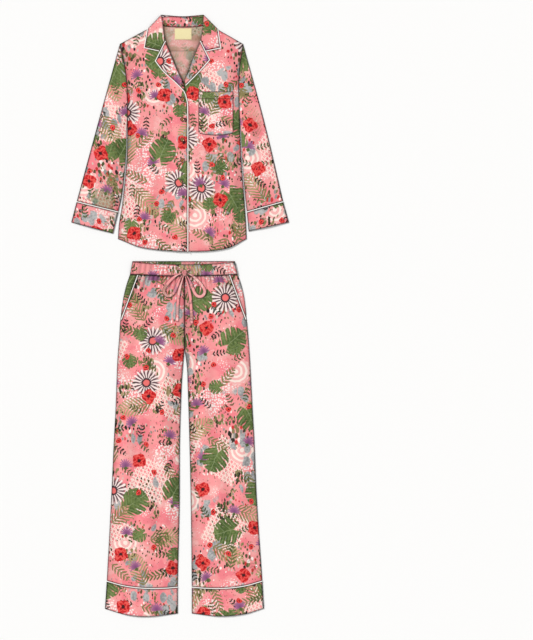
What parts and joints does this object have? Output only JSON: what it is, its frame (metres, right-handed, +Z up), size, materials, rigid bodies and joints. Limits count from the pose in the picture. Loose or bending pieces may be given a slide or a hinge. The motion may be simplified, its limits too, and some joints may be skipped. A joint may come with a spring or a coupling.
{
  "type": "pyjama set",
  "caption": "Pyjama set laid flat: notched-collar piped shirt with a chest pocket above drawstring trousers with piped hem bands.",
  "frame": {"origin": "centre of the whole set's box on the surface that it lies on", "axes": "+Y from the trouser hems to the collar, +Z up out of the surface, +X to the right seen from above"},
  "size_m": [0.6523, 1.805, 0.0144],
  "materials": {
    "printed cloth": "soft matte",
    "wrong side": "washed out, matte",
    "piping": "soft satin",
    "label": "matte",
    "button": "polished horn look"
  },
  "bodies": {
    "root": {"back": "wrong side", "back_yoke": "wrong side", "button_1": "button", "button_2": "button", "button_3": "button", "button_4": "button", "button_5": "button", "chest_pocket": "printed cloth", "collar_fall": "printed cloth", "collar_leaf_left": "printed cloth", "collar_leaf_right": "printed cloth", "collar_stand": "printed cloth", "cuff_left_back": "printed cloth", "cuff_left_front": "printed cloth", "cuff_right_back": "printed cloth", "cuff_right_front": "printed cloth", "drawstring_knot": "printed cloth", "drawstring_lead_left": "printed cloth", "drawstring_lead_right": "printed cloth", "drawstring_loop_left": "printed cloth", "drawstring_loop_right": "printed cloth", "drawstring_tail_left": "printed cloth", "drawstring_tail_right": "printed cloth", "front_left": "printed cloth", "front_right": "printed cloth", "hem_band_left_back": "printed cloth", "hem_band_left_front": "printed cloth", "hem_band_right_back": "printed cloth", "hem_band_right_front": "printed cloth", "label": "label", "lapel_left": "printed cloth", "lapel_right": "printed cloth", "leg_left_back": "printed cloth", "leg_left_front": "printed cloth", "leg_right_back": "printed cloth", "leg_right_front": "printed cloth", "piping_collar_back": "piping", "piping_collar_left": "piping", "piping_collar_right": "piping", "piping_cuff_left_back": "piping", "piping_cuff_left_front": "piping", "piping_cuff_right_back": "piping", "piping_cuff_right_front": "piping", "piping_hem_left_back": "piping", "piping_hem_left_front": "piping", "piping_hem_right_back": "piping", "piping_hem_right_front": "piping", "piping_lapel_left": "piping", "piping_lapel_right": "piping", "piping_pocket_left": "piping", "piping_pocket_right": "piping", "pocket_facing_left": "printed cloth", "pocket_facing_right": "printed cloth", "sleeve_left_back": "printed cloth", "sleeve_left_front": "printed cloth", "sleeve_right_back": "printed cloth", "sleeve_right_front": "printed cloth", "waistband_back": "printed cloth", "waistband_front": "printed cloth"}
  },
  "joints": []
}
